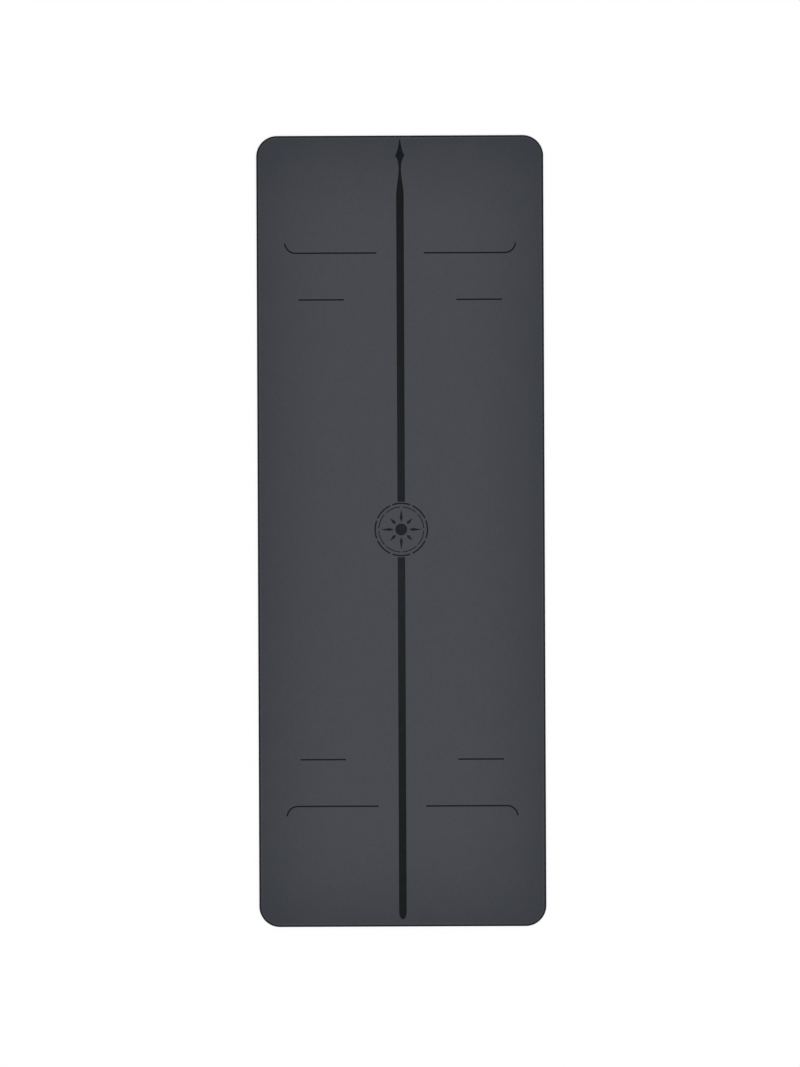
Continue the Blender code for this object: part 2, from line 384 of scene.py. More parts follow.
# %% [markdown]
# The centre line has a round end at one end of the mat and a spearhead at the other, with a
# narrow waist behind it. The dial's outlines are plain arcs, slim rays and a spot.

# %% The centre line
LINE_HALF_WIDTH = 8.45 * MM
POINT_REACH = MAT_HALF[1] - 10.7 * MM
ROUND_END_REACH = MAT_HALF[1] - 13.7 * MM
ROUND_END_LENGTH = 16.5 * MM
POINT_LENGTH, POINT_HALF_WIDTH = 39.8 * MM, 10.6 * MM
NECK_LENGTH, WAIST_HALF_WIDTH = 30.2 * MM, 2.35 * MM
TAPER_LENGTH = 64 * MM
POINT_STRAIGHT_SHARE, POINT_POWER = 0.68, 5
NECK_FLARE = 3.0
DIAL_RADIUS, DIAL_THICKNESS = 60.5 * MM, 3 * MM
DIAL_GAP = DIAL_RADIUS + DIAL_THICKNESS / 2 + 2.5 * MM  # where the centre line stops
END_STEPS = 24


def centre_line():
    """The two parts of the centre line. The round end's half width follows a quarter of an
    ellipse. The taper is a smooth step and the neck flares as e to the power of the way along it.
    The point's hollow sides are a straight line blended with a fifth power."""
    share = 1 - np.cos(np.linspace(0, math.pi / 2, END_STEPS + 1))
    tail = both_sides(
        np.append(-ROUND_END_REACH + ROUND_END_LENGTH * share, -DIAL_GAP),
        np.append(LINE_HALF_WIDTH * np.sqrt(1 - (1 - share) ** 2), LINE_HALF_WIDTH),
    )
    share = np.linspace(0, 1, END_STEPS + 1)
    waist_at = POINT_REACH - POINT_LENGTH - NECK_LENGTH
    taper = LINE_HALF_WIDTH + (WAIST_HALF_WIDTH - LINE_HALF_WIDTH) * smooth_step(share)
    flare = np.expm1(NECK_FLARE * share) / np.expm1(NECK_FLARE)
    neck = WAIST_HALF_WIDTH + (POINT_HALF_WIDTH - WAIST_HALF_WIDTH) * flare
    left = 1 - share
    point = POINT_STRAIGHT_SHARE * left + (1 - POINT_STRAIGHT_SHARE) * left**POINT_POWER
    along = np.concatenate([
        [DIAL_GAP],
        waist_at - TAPER_LENGTH + TAPER_LENGTH * share,
        waist_at + NECK_LENGTH * share[1:],
        POINT_REACH - POINT_LENGTH + POINT_LENGTH * share[1:],
    ])
    across = np.concatenate([[LINE_HALF_WIDTH], taper, neck[1:], POINT_HALF_WIDTH * point[1:]])
    spear = both_sides(along, across)
    # The two sides meet at the tip, and at the tail's end, in one point each.
    return [np.delete(spear, len(along), axis=0), tail[:-1]]


# %% The hand and foot lines
HAND_LEVEL = MAT_HALF[1] - 275.3 * MM
HAND_START = 56.1 * MM
HAND_CURL_RADIUS, HAND_CURL_TURN = 24.5 * MM, 82.5  # the turn in degrees
HAND_CURL_X = MAT_HALF[0] - 65.3 * MM - HAND_CURL_RADIUS
FOOT_LEVEL = HAND_LEVEL - 108 * MM
FOOT_END = MAT_HALF[0] - 98.1 * MM
FOOT_LENGTH = 102.6 * MM
CURL_STEPS = 20


def hand_and_foot_lines():
    """Eight strokes. A hand line runs straight out and turns on an arc towards its end of the
    mat. A foot line is straight."""
    centre = (HAND_CURL_X, HAND_LEVEL + HAND_CURL_RADIUS)
    curl = arc(centre, HAND_CURL_RADIUS, 270, 270 + HAND_CURL_TURN, CURL_STEPS)
    hand = np.vstack([(HAND_START, HAND_LEVEL), curl])
    foot = np.array([(FOOT_END - FOOT_LENGTH, FOOT_LEVEL), (FOOT_END, FOOT_LEVEL)])
    return [
        outline for path in (hand, foot) for outline in four_ways(stroke(path, LINE_THICKNESS))
    ]


# %% The dial
INNER_RADIUS, INNER_THICKNESS = 52 * MM, 1.6 * MM
RING_BRIDGE = 5.5 * MM  # of skin between two arcs of a ring
RAY_CLEARANCE = 4.5 * MM  # of skin at both ends of a ray
RAY_HALF_WIDTH = 3.3 * MM
RAY_SHOULDER_SHARE = 0.30
SHORT_RAY_CUT = 10 * MM
SPOT_RADIUS, SPOT_STEPS = 13.5 * MM, 64
RAYS = 8
ARC_STEPS = 16


def ring(radius, thickness, first):
    """A ring broken into equal arcs, the first centred on an angle in degrees."""
    pitch = 360 / RAYS
    half_arc = pitch / 2 - math.degrees((RING_BRIDGE + thickness) / 2 / radius)
    middles = first + pitch * np.arange(RAYS)
    return [
        stroke(arc((0, 0), radius, at - half_arc, at + half_arc, ARC_STEPS), thickness)
        for at in middles
    ]


def ray(number):
    """A slim kite that points outwards, each second one shorter."""
    start = SPOT_RADIUS + RAY_CLEARANCE
    end = INNER_RADIUS - INNER_THICKNESS / 2 - RAY_CLEARANCE - SHORT_RAY_CUT * (number % 2)
    shoulder = start + (end - start) * RAY_SHOULDER_SHARE
    kite = [(start, 0), (shoulder, -RAY_HALF_WIDTH), (end, 0), (shoulder, RAY_HALF_WIDTH)]
    turn = 2 * math.pi * number / RAYS
    rows = [(math.cos(turn), math.sin(turn)), (-math.sin(turn), math.cos(turn))]
    return np.array(kite) @ np.array(rows)


dial = ring(DIAL_RADIUS, DIAL_THICKNESS, 0) + ring(INNER_RADIUS, INNER_THICKNESS, 180 / RAYS)
dial += [ray(number) for number in range(RAYS)]
dial.append(arc((0, 0), SPOT_RADIUS, 0, 360, SPOT_STEPS)[:-1])
marks = [outline + (0, MARKS_OFFSET) for outline in centre_line() + hand_and_foot_lines() + dial]
print("guide marks:", len(marks))

# %% [markdown]
# ## The grip skin
# The skin's top is level, so it needs few faces, but it has a hole for each mark, and a grid
# can't follow those. A constrained Delaunay triangulation can: it joins given points into
# well-shaped triangles and keeps given edges. Its points are the loops beside each mark and
# beside the rim, and a loose grid between them. The triangles inside a mark are left out by the
# even-odd rule: a line from inside it crosses the loops an even number of times.
#
# Each mark's lip and the skin's rim are profiles again, carried along the mark's outline and
# round the mat. The first two loops of each are level, so that the shading of the flat skin
# stays flat up to the lip.

# %% Outlines made even, and their directions outwards
OUTLINE_SPACING = 5 * MM
MITRE_LIMIT = 1.5


def even_outline(outline):
    """The same closed outline with points added so that no side is longer than the spacing."""
    closed = np.vstack([outline, outline[:1]])
    way = np.concatenate([[0], np.cumsum(np.linalg.norm(np.diff(closed, axis=0), axis=1))])
    pieces = np.ceil(np.diff(way) / OUTLINE_SPACING).astype(int)
    side = np.repeat(np.arange(len(outline)), pieces)
    step = np.arange(len(side)) - np.repeat(np.cumsum(pieces) - pieces, pieces)
    share = (step / pieces[side])[:, None]
    return closed[side] * (1 - share) + closed[side + 1] * share


def outwards(outline):
    """The direction away from an anticlockwise outline at each point: the sum of its two sides'
    normals, made so long that both sides move by one unit, up to the mitre limit."""
    side = np.roll(outline, -1, axis=0) - outline
    side /= np.linalg.norm(side, axis=1, keepdims=True)
    normal = np.column_stack([side[:, 1], -side[:, 0]])
    both = normal + np.roll(normal, 1, axis=0)
    size = np.linalg.norm(both, axis=1, keepdims=True)
    return both / size * np.minimum(2 / size, MITRE_LIMIT)


marks = [even_outline(outline) for outline in marks]
print("outline points:", sum(map(len, marks)))

# %% The walls of the lips and the rim
LIP_PROFILE = MM * np.array([
    (0.90, 0), (0.50, 0), (0.26, 0.015), (0.10, 0.07), (0.02, 0.17), (0, 0.30),
])  # outwards from the mark, and down from the skin's top
RIM_PROFILE = MM * np.array([
    (3.0, 0), (1.7, 0), (1.0, 0.012), (0.5, 0.06), (0.2, 0.15), (0.05, 0.27), (0, 0.42),
])  # inwards from the skin's edge, and down from its top
PLAN_SPACING = 15 * MM


def lip_wall(outline):
    """Carries the lip's profile along a mark, down to the foot of the skin."""
    out, down = np.vstack([LIP_PROFILE, (0, SKIN_TOP - SKIN_BOTTOM)]).T[:, :, None]
    flat = outline + outwards(outline) * out[..., None]
    return np.concatenate([flat, np.broadcast_to(SKIN_TOP - down, flat.shape[:2])[..., None]], -1)


plan = plan_grid(SKIN_INSET, PLAN_SPACING, SKIN_TOP)
rim_profile = np.vstack([RIM_PROFILE, (0, SKIN_TOP - SKIN_BOTTOM)]) * (1, -1)
rim_wall = around(
    plan.reshape(-1, 3)[grid_border(numbered(plan)), :2], rim_profile + (SKIN_INSET, SKIN_TOP)
)
walls = [rim_wall] + [lip_wall(outline) for outline in marks]
print("rim:", rim_wall.shape[:2], "first lip:", walls[1].shape[:2])

# %% The skin's field
FIELD_SPACING = 24 * MM
FIELD_CLEARANCE = 5 * MM  # of the loose points from the loops
MERGE_DISTANCE = 1e-7  # points closer than this count as one
WHOLE_HULL = 0  # the kind of result: triangles everywhere, in the marks too


def inside(places, loops):
    """Which places lie between the loops, by the even-odd rule: a line towards +X crosses a side
    if the side's ends lie on both sides of the line and it cuts the line further along."""
    start = np.vstack(loops)
    end = np.vstack([np.roll(loop, -1, axis=0) for loop in loops])
    x, y = places[:, 0, None], places[:, 1, None]
    spans = (start[:, 1] > y) != (end[:, 1] > y)
    rise = np.where(spans, end[:, 1] - start[:, 1], 1)
    crossing = start[:, 0] + (y - start[:, 1]) / rise * (end[:, 0] - start[:, 0])
    return (spans & (x < crossing)).sum(axis=1) % 2 == 1


loops = [wall[0, :, :2] for wall in walls]
loop_points = np.vstack(loops)
sizes = np.array([len(loop) for loop in loops])
loop_numbers = [end - size + np.arange(size) for size, end in zip(sizes, np.cumsum(sizes))]
loop_sides = np.vstack([np.column_stack([loop, np.roll(loop, -1)]) for loop in loop_numbers])

spread = np.meshgrid(*(np.arange(-side, side, FIELD_SPACING) for side in MAT_HALF))
loose = np.column_stack([places.ravel() for places in spread])
clear = np.linalg.norm(loose[:, None] - loop_points, axis=-1).min(axis=1) > FIELD_CLEARANCE
loose = loose[clear & inside(loose, loops)]
flat = np.vstack([loop_points, loose])

_, _, faces, origins, _, _ = delaunay_2d_cdt(
    flat.tolist(), loop_sides.tolist(), [], WHOLE_HULL, MERGE_DISTANCE
)
triangles = np.array([given[0] for given in origins])[np.array(faces)]
triangles = triangles[inside(flat[triangles].mean(axis=1), loops)]
print("field:", len(flat), "points,", len(triangles), "triangles")

# %% [markdown]
# The triangulation serves twice: for the skin's top, and turned over for its underside, with
# each point of a loop swapped for the one at the foot of its wall. So the skin closes with one
# triangulation.

# %% The skin, put together
parts = [
    np.column_stack([flat, np.full(len(flat), SKIN_TOP)]),
    np.column_stack([loose, np.full(len(loose), SKIN_BOTTOM)]),
]
count = len(flat) + len(loose)
foot_of = np.concatenate([np.zeros(len(loop_points), int), len(flat) + np.arange(len(loose))])
strips = []
for wall, loop in zip(walls, loop_numbers):
    new = numbered(wall[1:], first=count)
    strip = strip_faces(np.vstack([loop, new]))
    strips.append(strip[:, ::-1] if wall is rim_wall else strip)
    foot_of[loop] = new[-1]
    parts.append(wall[1:].reshape(-1, 3))
    count += new.size
skin = mesh_piece(
    "leather_skin", np.vstack(parts), triangles, foot_of[triangles][:, ::-1], np.vstack(strips)
)

# %% [markdown]
# ## Helpers for materials
# A material is a small program made of nodes. A few helpers keep that program short: one feeds a
# socket, one adds a node, and the others stand for what is used most, from plain arithmetic to a
# colour made lighter and darker. An effect that several materials use becomes a node group, with
# its own named inputs and outputs.

# %% Helpers for nodes, numbers and colours
def feed(tree, socket, value):
    """Sets a socket to a number or a colour, or links another node's output to it."""
    if isinstance(value, bpy.types.NodeSocket):
        tree.links.new(value, socket)
    else:
        socket.default_value = value


def add_node(tree, kind, inputs, **settings):
    """A new shader node. Its inputs go by name or by number."""
    made = tree.nodes.new("ShaderNode" + kind)
    for key, value in settings.items():
        setattr(made, key, value)
    for key, value in inputs.items():
        feed(tree, made.inputs[key], value)
    return made


def calc(tree, operation, *values, clamp=False):
    """The result of a Math node."""
    inputs = dict(enumerate(values))
    return add_node(tree, "Math", inputs, operation=operation, use_clamp=clamp).outputs[0]


def between(tree, share, low, high):
    """A number that goes from low to high as a share goes from 0 to 1."""
    return calc(tree, "MULTIPLY_ADD", share, high - low, low)


def soft_step(tree, value, start, end):
    """A share that is 0 before start and 1 after end, with a smooth step between."""
    inputs = {"Value": value, "From Min": start, "From Max": end}
    return add_node(tree, "MapRange", inputs, interpolation_type="SMOOTHSTEP").outputs["Result"]


def mix(tree, share, first, second):
    """The first number mixed with a share of the second."""
    return add_node(tree, "Mix", {0: share, 2: first, 3: second}).outputs[0]


def blend(tree, share, first, second, kind="MIX"):
    """The first colour mixed with a share of the second."""
    inputs = {0: share, 6: first, 7: second}
    return add_node(tree, "Mix", inputs, data_type="RGBA", blend_type=kind).outputs[2]


def shaded(tree, colour, share, low, high):
    """A colour times a number that goes from low to high with a share."""
    return blend(tree, 1.0, colour, between(tree, share, low, high), "MULTIPLY")


# %% Helpers for places, effects and materials
def place(tree):
    """Where a point lies on the mat, in metres."""
    return tree.nodes.new("ShaderNodeTexCoord").outputs["Object"]


def place_axes(tree):
    """The three coordinates of that place."""
    return add_node(tree, "SeparateXYZ", {0: place(tree)}).outputs


def new_effect(name, inputs, outputs):
    """An empty group of nodes with number sockets: its tree, what it is given, what it gives."""
    tree = bpy.data.node_groups.new(name, "ShaderNodeTree")
    for label, usual in inputs.items():
        socket = tree.interface.new_socket(label, in_out="INPUT", socket_type="NodeSocketFloat")
        socket.default_value = usual
    for label in outputs:
        tree.interface.new_socket(label, in_out="OUTPUT", socket_type="NodeSocketFloat")
    given = tree.nodes.new("NodeGroupInput").outputs
    return tree, given, tree.nodes.new("NodeGroupOutput").inputs


def use_effect(tree, effect, **values):
    """Places an effect in a material. Returns its outputs."""
    made = tree.nodes.new("ShaderNodeGroup")
    made.node_tree = effect
    for label, value in values.items():
        feed(tree, made.inputs[label], value)
    return made.outputs


def new_material(name, gloss):
    """A matt material with a little gloss, its tree and its shader."""
    material = bpy.data.materials.new(name)
    material.use_nodes = True
    shader = material.node_tree.nodes["Principled BSDF"]
    shader.inputs["Specular IOR Level"].default_value = gloss
    return material, material.node_tree, shader


def set_surface(tree, shader, colour, roughness, relief, depth):
    """Gives the shader its colour, its roughness and a relief of a depth, as a bump."""
    bump = add_node(tree, "Bump", {"Height": relief, "Distance": depth})
    feed(tree, shader.inputs["Base Color"], colour)
    feed(tree, shader.inputs["Roughness"], roughness)
    feed(tree, shader.inputs["Normal"], bump.outputs[0])


# %% [markdown]
# ## Effects for the sheets
# Four effects do most of the work. One measures how far a point lies inside the mat's outline,
# for the painted shade and highlight at the pressed rim, and for the cut edge. One makes soft
# clouds, since no coated or foamed sheet is quite even. One makes a fine pebbled grain, and one the
# pores of foam.

# %% The distance inside the outline
def outline_distance():
    """The distance inside a rectangle with round corners: the radius, less the length of what
    reaches past the core rectangle, and less the larger overlap where that is negative."""
    tree, given, gives = new_effect(
        "distance inside the outline",
        {"Half Width": MAT_HALF[0], "Half Length": MAT_HALF[1], "Radius": CORNER_RADIUS},
        ["Distance"],
    )
    axes = place_axes(tree)
    past = [
        calc(tree, "SUBTRACT", calc(tree, "ABSOLUTE", axes[axis]),
             calc(tree, "SUBTRACT", given[half], given["Radius"]))
        for axis, half in enumerate(("Half Width", "Half Length"))
    ]
    squares = [calc(tree, "POWER", calc(tree, "MAXIMUM", value, 0.0), 2.0) for value in past]
    reach = calc(tree, "SQRT", calc(tree, "ADD", *squares))
    within = calc(tree, "MINIMUM", calc(tree, "MAXIMUM", *past), 0.0)
    feed(tree, gives[0], calc(
        tree, "SUBTRACT", calc(tree, "SUBTRACT", given["Radius"], reach), within
    ))
    return tree


outline_effect = outline_distance()

# %% Clouds, grain and pores
CLOUD_NOISES = 0.25, 0.75  # where a cloud starts and is full
PEBBLE_PUSH = 0.7  # by noise, in cells
DOME_REACH, CREASE_REACH = 0.28, 0.14  # from a cell's side, in cells
FINE_SHARE = 0.2  # of the grain's height, from noise finer than a pebble
PORE_REACHES = 0.05, 0.75  # of the smallest and the largest pore, in cells
OPEN_SHARE = 0.55  # of a pore's reach, where it is fully open


def scaled_place(tree, size):
    """Object coordinates divided by a pattern's size."""
    inputs = {0: place(tree), "Scale": calc(tree, "DIVIDE", 1.0, size)}
    return add_node(tree, "VectorMath", inputs, operation="SCALE").outputs[0]


def soft_clouds():
    """Layered noise about a size, stretched so that it runs from 0 to 1."""
    tree, given, gives = new_effect("soft clouds", {"Size": 50 * MM}, ["Cloud"])
    noise = add_node(tree, "TexNoise", {
        "Vector": scaled_place(tree, given["Size"]), "Scale": 1.0, "Detail": 3.0, "Roughness": 0.6,
    })
    feed(tree, gives["Cloud"], soft_step(tree, noise.outputs[0], *CLOUD_NOISES))
    return tree


def pebbled_grain():
    """Rounded cells with creases between them: the distance to the nearest cell's side, softly
    cut off, on a place that a little noise has pushed about."""
    tree, given, gives = new_effect("pebbled grain", {"Size": 0.8 * MM}, ["Height", "Crease"])
    there = scaled_place(tree, given["Size"])
    push = add_node(tree, "TexNoise", {"Vector": there, "Scale": 0.7, "Detail": 1.0})
    inputs = {0: push.outputs["Color"], 1: (PEBBLE_PUSH,) * 3, 2: there}
    moved = add_node(tree, "VectorMath", inputs, operation="MULTIPLY_ADD")
    inputs = {"Vector": moved.outputs[0], "Scale": 1.0}
    cells = add_node(tree, "TexVoronoi", inputs, feature="DISTANCE_TO_EDGE")
    to_side = cells.outputs["Distance"]
    dome = soft_step(tree, to_side, 0.0, DOME_REACH)
    fine = add_node(tree, "TexNoise", {"Vector": there, "Scale": 4.0, "Detail": 2.0})
    feed(tree, gives["Height"], mix(tree, FINE_SHARE, dome, fine.outputs[0]))
    feed(tree, gives["Crease"], soft_step(tree, to_side, CREASE_REACH, 0.0))
    return tree


def foam_pores():
    """Open cells of uneven size: near a cell's middle the height sinks."""
    tree, given, gives = new_effect("foam pores", {"Size": 0.45 * MM}, ["Height", "Pore"])
    there = scaled_place(tree, given["Size"])
    cells = add_node(tree, "TexVoronoi", {"Vector": there, "Scale": 1.0, "Randomness": 1.0})
    width = add_node(tree, "TexNoise", {"Vector": there, "Scale": 0.35, "Detail": 2.0})
    reach = between(tree, width.outputs[0], *PORE_REACHES)
    fully_open = calc(tree, "MULTIPLY", reach, OPEN_SHARE)
    pore = soft_step(tree, cells.outputs["Distance"], reach, fully_open)
    feed(tree, gives["Pore"], pore)
    feed(tree, gives["Height"], calc(tree, "SUBTRACT", 1.0, pore))
    return tree


clouds, grain, pores = soft_clouds(), pebbled_grain(), foam_pores()
print("effects:", [group.name for group in bpy.data.node_groups])

# %% [markdown]
# ## The skin's finish
# The skin is a matt, charcoal grey coating. Faint clouds run through the coating, and a fine
# pebbled grain breaks up the light; the grain's colour is painted a touch lighter on the pebbles
# and darker in the creases, as light and shade. Over the last quarter metre before each side and
# end the skin is painted darker and bluer, as shade. Where the die and the cutter pressed through
# it, the edge is rolled over and nearly black, partly from the pressing and partly painted shade. A
# faintly paler line just inside the rim is a painted highlight.

# %% The painted shade towards the sides
def painted_edge_shade():
    """How much painted shade darkens the skin, from 0 to 1. On each axis the distance left to the
    side, as a share of the reach, is taken from 1, squared and scaled, and the two are combined as
    1 less the product of what each leaves."""
    tree, given, gives = new_effect(
        "painted shade towards the sides",
        {"Side Reach": 225 * MM, "End Reach": 250 * MM, "Most": 0.58},
        ["Tone"],
    )
    axes = place_axes(tree)
    leaves = []
    for axis, reach in enumerate(("Side Reach", "End Reach")):
        way = calc(tree, "SUBTRACT", MAT_HALF[axis], calc(tree, "ABSOLUTE", axes[axis]))
        near = calc(tree, "SUBTRACT", 1.0, calc(tree, "DIVIDE", way, given[reach]), clamp=True)
        square = calc(tree, "MULTIPLY", calc(tree, "POWER", near, 2.0), given["Most"])
        leaves.append(calc(tree, "SUBTRACT", 1.0, square))
    feed(tree, gives["Tone"], calc(tree, "SUBTRACT", 1.0, calc(tree, "MULTIPLY", *leaves)))
    return tree


painted_shade_effect = painted_edge_shade()

# %% The coating's colour and grain
SKIN_MIDDLE = (0.0520, 0.0551, 0.0638, 1)
# Painted shade: the skin's colour at its sides and ends, darker and bluer.
SKIN_SIDE_SHADED = (0.0226, 0.0259, 0.0339, 1)
CLOUD_SIZE, CLOUD_TONES = 70 * MM, (-0.03, 0.03)  # added to the tone
SPECKLE_SIZE, SPECKLE_LIGHTS = 6 * MM, (0.95, 1.05)
# The grain's colour is painted light and shade: a touch lighter on a pebble, darker in a crease.
PEBBLE_SIZE, PEBBLE_PAINTED_LIGHTS = 0.9 * MM, (1.02, 0.92)  # on a pebble and in a crease


def coating_colour(tree, pebbles):
    """Painted side shade with clouds, times the speckle's light and the grain's painted light and
    shade.
    """
    # The tone is painted shade, darker towards the sides and ends.
    tone = use_effect(tree, painted_shade_effect)["Tone"]
    broad = use_effect(tree, clouds, Size=CLOUD_SIZE)["Cloud"]
    speckle = use_effect(tree, clouds, Size=SPECKLE_SIZE)["Cloud"]
    shade = calc(tree, "ADD", tone, between(tree, broad, *CLOUD_TONES), clamp=True)
    colour = blend(tree, shade, SKIN_MIDDLE, SKIN_SIDE_SHADED)
    colour = shaded(tree, colour, speckle, *SPECKLE_LIGHTS)
    return shaded(tree, colour, pebbles["Crease"], *PEBBLE_PAINTED_LIGHTS)


# %% Painted rim shade and highlight, the burnt walls and the skin's material
# The rolled rim is nearly black partly from pressing and partly as painted shade where it turns
# down.
SKIN_PRESSED_AND_SHADED = (0.0035, 0.0048, 0.0078, 1)
SKIN_BURNT = (0.0070, 0.0080, 0.0095, 1)
PRESSED_SHADE_INSETS = 3.0 * MM, 1.9 * MM  # from the skin's edge, where pressing starts and is full
# Painted highlight: a faintly paler band a few millimetres inside the skin's edge.
PAINTED_HIGHLIGHT_OUTER, PAINTED_HIGHLIGHT_INNER = (2.5 * MM, 4 * MM), (7 * MM, 5 * MM)  # likewise, on its two sides
PAINTED_HIGHLIGHT_LIGHTS = 1.0, 1.22
BURNT_DEPTHS = 0.004 * MM, 0.04 * MM  # below the skin's top, where burning starts and is full
SKIN_GLOSS = 0.15
SKIN_ROUGHNESSES = 0.62, 0.74  # on a pebble and in a crease
GRAIN_DEPTH = 0.05 * MM


def skin_material():
    """The coated skin, pressed and painted dark as shade along its rim, with a painted highlight
    just inside that, and burnt where it is cut.
    """
    material, tree, shader = new_material("charcoal_coating", SKIN_GLOSS)
    pebbles = use_effect(tree, grain, Size=PEBBLE_SIZE)
    inset = calc(tree, "SUBTRACT", use_effect(tree, outline_effect)["Distance"], SKIN_INSET)
    depth = calc(tree, "SUBTRACT", SKIN_TOP, place_axes(tree)[2])
    painted_highlight = [soft_step(tree, inset, *insets) for insets in (PAINTED_HIGHLIGHT_OUTER, PAINTED_HIGHLIGHT_INNER)]
    colour = coating_colour(tree, pebbles)
    # Painted highlight: the band inside the rim is made paler.
    colour = shaded(tree, colour, calc(tree, "MULTIPLY", *painted_highlight), *PAINTED_HIGHLIGHT_LIGHTS)
    # Painted shade, with the pressing: the rolled rim is made nearly black.
    colour = blend(tree, soft_step(tree, inset, *PRESSED_SHADE_INSETS), colour, SKIN_PRESSED_AND_SHADED)
    colour = blend(tree, soft_step(tree, depth, *BURNT_DEPTHS), colour, SKIN_BURNT)
    roughness = between(tree, pebbles["Crease"], *SKIN_ROUGHNESSES)
    set_surface(tree, shader, colour, roughness, pebbles["Height"], GRAIN_DEPTH)
    return material


skin.data.materials.append(skin_material())

# %% [markdown]
# ## The cloth's weave
# Plain weave is the simplest there is: each yarn goes over one and under the next, both ways. On
# a chessboard of yarn crossings the white squares show the warp on top and the black squares
# the weft. A yarn is round across, and it dips where it goes under.

# %% The weave
YARN_PITCH = 0.55 * MM
YARN_DIP = 0.45  # of its height, where a yarn goes under


def plain_weave():
    """The yarn on top is a half sine across itself and a shallower half sine along itself. Warp
    is on top where the two crossing numbers add up to an even number."""
    tree, given, gives = new_effect("plain weave", {"Pitch": YARN_PITCH}, ["Height"])
    axes = add_node(tree, "SeparateXYZ", {0: scaled_place(tree, given["Pitch"])}).outputs
    round_across = [
        calc(tree, "SINE", calc(tree, "MULTIPLY", calc(tree, "FRACT", axis), math.pi))
        for axis in axes[:2]
    ]
    crossing = calc(tree, "ADD", *(calc(tree, "FLOOR", axis) for axis in axes[:2]))
    weft = calc(tree, "FLOORED_MODULO", crossing, 2.0)
    across = mix(tree, weft, *round_across)
    along = mix(tree, weft, *round_across[::-1])
    dipped = between(tree, along, 1 - YARN_DIP, 1)
    feed(tree, gives["Height"], calc(tree, "MULTIPLY", across, dipped))
    return tree


weave = plain_weave()

# %% The cloth's material
CLOTH_GAP = (0.0045, 0.0055, 0.0058, 1)
# Painted light: the yarns' colour halfway along the mat, paler than at the ends.
CLOTH_MIDDLE_PAINTED_LIGHT = (0.0152, 0.0179, 0.0199, 1)
CLOTH_END = (0.0044, 0.0072, 0.0070, 1)
PAINTED_LIGHT_PLACE = -100 * MM  # along the mat
YARN_HEIGHTS = 0.05, 0.75  # of the weave, where a yarn's colour starts and is full
SLUB_SIZE, SLUB_LIGHTS = 9 * MM, (0.9, 1.2)
CLOTH_GLOSS = 0.1
CLOTH_ROUGHNESSES = 0.9, 0.8  # in a gap and on a yarn
YARN_DEPTH = 0.12 * MM


def cloth_material():
    """Near-black yarns, painted a little paler halfway along the mat as light, and darker in their
    gaps.
    """
    material, tree, shader = new_material("close_dark_weave", CLOTH_GLOSS)
    height = use_effect(tree, weave)["Height"]
    slub = use_effect(tree, clouds, Size=SLUB_SIZE)["Cloud"]
    along = calc(tree, "SUBTRACT", place_axes(tree)[1], PAINTED_LIGHT_PLACE)
    share = calc(tree, "DIVIDE", calc(tree, "ABSOLUTE", along), MAT_HALF[1], clamp=True)
    # Painted light: the yarns are made paler halfway along the mat.
    yarn = blend(tree, share, CLOTH_MIDDLE_PAINTED_LIGHT, CLOTH_END)
    colour = blend(tree, soft_step(tree, height, *YARN_HEIGHTS), CLOTH_GAP, yarn)
    colour = shaded(tree, colour, slub, *SLUB_LIGHTS)
    roughness = between(tree, height, *CLOTH_ROUGHNESSES)
    set_surface(tree, shader, colour, roughness, height, YARN_DEPTH)
    return material


cloth.data.materials.append(cloth_material())

# %% [markdown]
# ## The rubber's finish
# The same rubber shows two faces. Where it was moulded it has a closed skin with a fine grain.
# Where it was cut, the foam's cells are open and show as pores. The material tells them apart by
# height and by the distance inside the outline: the cut is the outermost band, clear of the
# floor.

# %% The rubber's material
RUBBER_FACE = (0.0150, 0.0160, 0.0185, 1)
RUBBER_CREST = (0.0230, 0.0240, 0.0265, 1)
RUBBER_CUT = (0.0085, 0.0095, 0.0120, 1)
RUBBER_PORE = (0.0030, 0.0034, 0.0045, 1)
CUT_INSETS = 1.0 * MM, 0.5 * MM  # from the outline, where the cut's look starts and is full
CUT_HEIGHTS = 0.2 * MM, 0.5 * MM  # above the floor, likewise
SCUFF_HEIGHTS = 0.12 * MM, 0.0  # above the floor, where scuffing starts and is full
MOULD_GRAIN_SIZE = 0.6 * MM
RUBBER_CLOUD_SIZE, RUBBER_LIGHTS = 40 * MM, (0.88, 1.13)
RUBBER_GLOSS = 0.12
RUBBER_ROUGHNESSES = 0.70, 0.85  # moulded and cut
PORE_DEPTH = 0.12 * MM


def rubber_material():
    """Moulded rubber, with crests scuffed a little paler, and a darker die-cut edge with open
    pores."""
    material, tree, shader = new_material("black_foamed_rubber", RUBBER_GLOSS)
    inset = use_effect(tree, outline_effect)["Distance"]
    height = calc(tree, "SUBTRACT", place_axes(tree)[2], FLOOR_LEVEL)
    cut = calc(
        tree, "MULTIPLY", soft_step(tree, inset, *CUT_INSETS), soft_step(tree, height, *CUT_HEIGHTS)
    )
    foam = use_effect(tree, pores)
    pebbles = use_effect(tree, grain, Size=MOULD_GRAIN_SIZE)
    cloud = use_effect(tree, clouds, Size=RUBBER_CLOUD_SIZE)["Cloud"]
    moulded = blend(tree, soft_step(tree, height, *SCUFF_HEIGHTS), RUBBER_FACE, RUBBER_CREST)
    moulded = shaded(tree, moulded, cloud, *RUBBER_LIGHTS)
    opened = blend(tree, foam["Pore"], RUBBER_CUT, RUBBER_PORE)
    relief = mix(tree, cut, pebbles["Height"], foam["Height"])
    roughness = between(tree, cut, *RUBBER_ROUGHNESSES)
    set_surface(tree, shader, blend(tree, cut, moulded, opened), roughness, relief, PORE_DEPTH)
    return material


base.data.materials.append(rubber_material())

# %% [markdown]
# ## Standing in for the solids
# The three pieces take the places of the three imported solids, which stay for collision alone.
# The mat has no joints, so everything rides on its one body. All three are flexible sheets, laid
# flat.

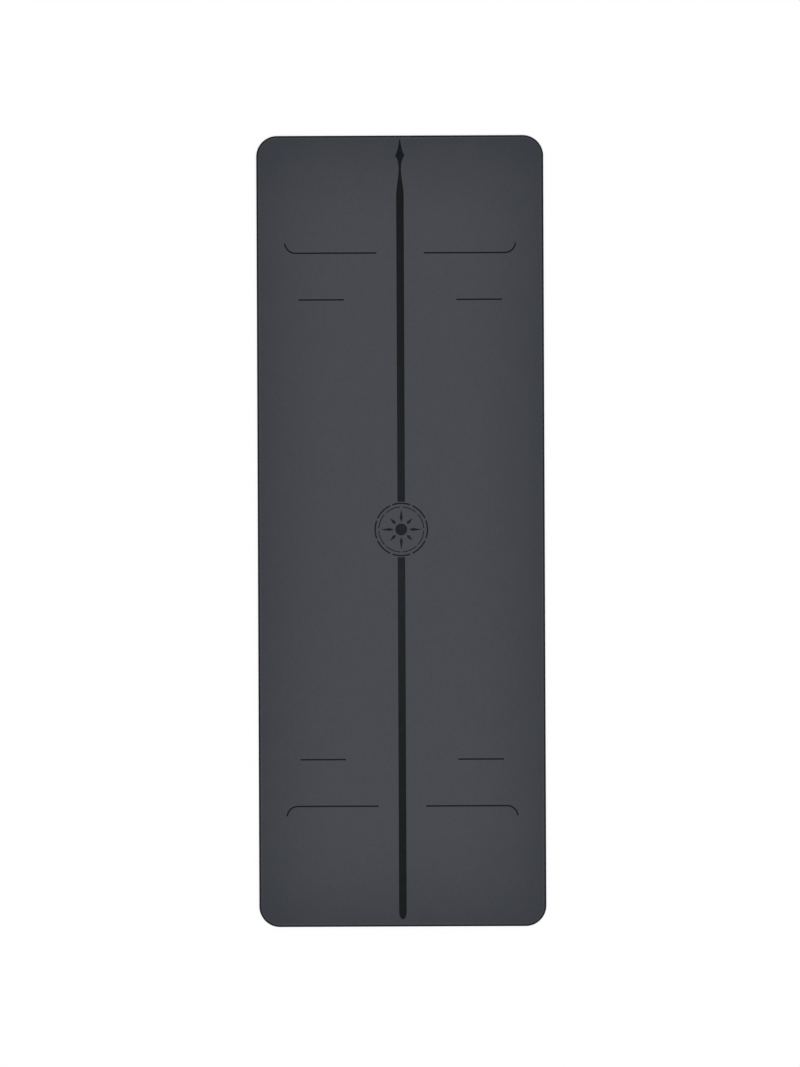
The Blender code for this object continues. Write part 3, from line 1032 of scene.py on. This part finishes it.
# %% Bodies and replaced nodes
for piece, node, slot in (
    (base, "rubber_base", "foamed_rubber"),
    (cloth, "backing_cloth", "backing_cloth"),
    (skin, "grip_skin", "grip_skin"),
):
    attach(piece, "root")
    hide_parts(node)


# %% [markdown]
# ## Floor, light and air
# The mat lies on a plain pale floor in even, soft light. A white world lights it from all round,
# and one very wide, soft lamp high on the near right gives the edges their shape. Together they
# give a level face about the light at which it shows its own colour. For the camera, and for
# gloss, the floor is blended with plain white, so that it looks white and still keeps a soft
# shadow.

# %% Floor
FLOOR_SIZE = 60  # in metres
FLOOR_GAP = 0.05 * MM
FLOOR_COLOUR = (0.95, 0.95, 0.95, 1)
WHITE = (1, 1, 1, 1)
WHITE_SHARE = 0.7  # of the floor's look, where it is seen directly


def seen_directly(tree):
    """1 for rays from the camera, in a reflection or through glass, else 0."""
    path = tree.nodes.new("ShaderNodeLightPath").outputs
    seen = calc(tree, "MAXIMUM", path["Is Camera Ray"], path["Is Glossy Ray"])
    return calc(tree, "MAXIMUM", seen, path["Is Transmission Ray"])


def floor_material():
    """A pale matt floor, blended with plain white where it is seen directly."""
    material = bpy.data.materials.new("pale_floor")
    material.use_nodes = True
    tree = material.node_tree
    tree.nodes.clear()
    matt = add_node(tree, "BsdfDiffuse", {"Color": FLOOR_COLOUR})
    white = add_node(tree, "Emission", {"Color": WHITE, "Strength": 1.0})
    share = calc(tree, "MULTIPLY", seen_directly(tree), WHITE_SHARE)
    both = add_node(tree, "MixShader", {0: share, 1: matt.outputs[0], 2: white.outputs[0]})
    add_node(tree, "OutputMaterial", {"Surface": both.outputs[0]})
    return material


floor_plan = FLOOR_SIZE / 2 * np.array([(-1, -1), (1, -1), (1, 1), (-1, 1)])
floor_points = np.column_stack([floor_plan, np.full(len(floor_plan), FLOOR_LEVEL - FLOOR_GAP)])
floor = mesh_piece("floor", floor_points, np.array([[0, 1, 2, 3]]))
floor.data.materials.append(floor_material())

# %% Light
WORLD_SHARE = 0.62  # of the light on a level face; the lamp gives the rest
LIGHT_LEVEL = 1.05  # at 1 a level white face shows as white
LAMP_TILT, LAMP_TURN = math.radians(38), math.radians(35)
LAMP_WIDTH = math.radians(50)  # as seen from the mat

world = bpy.data.worlds.new("white_studio")
world.use_nodes = True
bpy.context.scene.world = world
tree = world.node_tree
tree.nodes.clear()
strength = between(tree, seen_directly(tree), WORLD_SHARE * LIGHT_LEVEL, 1)
air = add_node(tree, "Background", {"Color": WHITE, "Strength": strength})
add_node(tree, "OutputWorld", {"Surface": air.outputs[0]})

lamp = bpy.data.objects.new("soft_lamp", bpy.data.lights.new("soft_lamp", "SUN"))
bpy.context.scene.collection.objects.link(lamp)
lamp.data.angle = LAMP_WIDTH
lamp.data.energy = math.pi * (1 - WORLD_SHARE) * LIGHT_LEVEL / math.cos(LAMP_TILT)
lamp.rotation_euler = (LAMP_TILT, 0, LAMP_TURN)
bpy.context.scene.view_settings.view_transform = "Standard"
